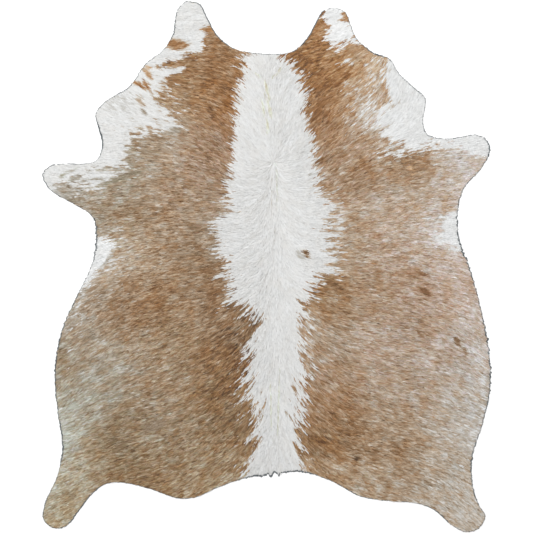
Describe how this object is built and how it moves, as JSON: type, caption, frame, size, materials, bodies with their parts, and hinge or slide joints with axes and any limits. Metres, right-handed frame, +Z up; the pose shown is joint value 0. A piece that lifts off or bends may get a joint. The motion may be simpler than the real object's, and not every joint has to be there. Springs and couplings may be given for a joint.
{
  "type": "cowhide rug",
  "caption": "Flat one-piece floor rug of tanned hide with its short hair on, cut to the natural outline with neck, legs and rump.",
  "frame": {"origin": "on the floor, at the middle of the box around the hide's outline", "axes": "+Y along the spine towards the neck, +X across the hide to the viewer's right, +Z up out of the hair"},
  "size_m": [1.8022, 2.1322, 0.0064],
  "materials": {
    "hide": "tanned skin with short tan and white hair lying flat, soft low sheen, grey suede underneath"
  },
  "bodies": {
    "root": {"hide": "hide"}
  },
  "joints": []
}
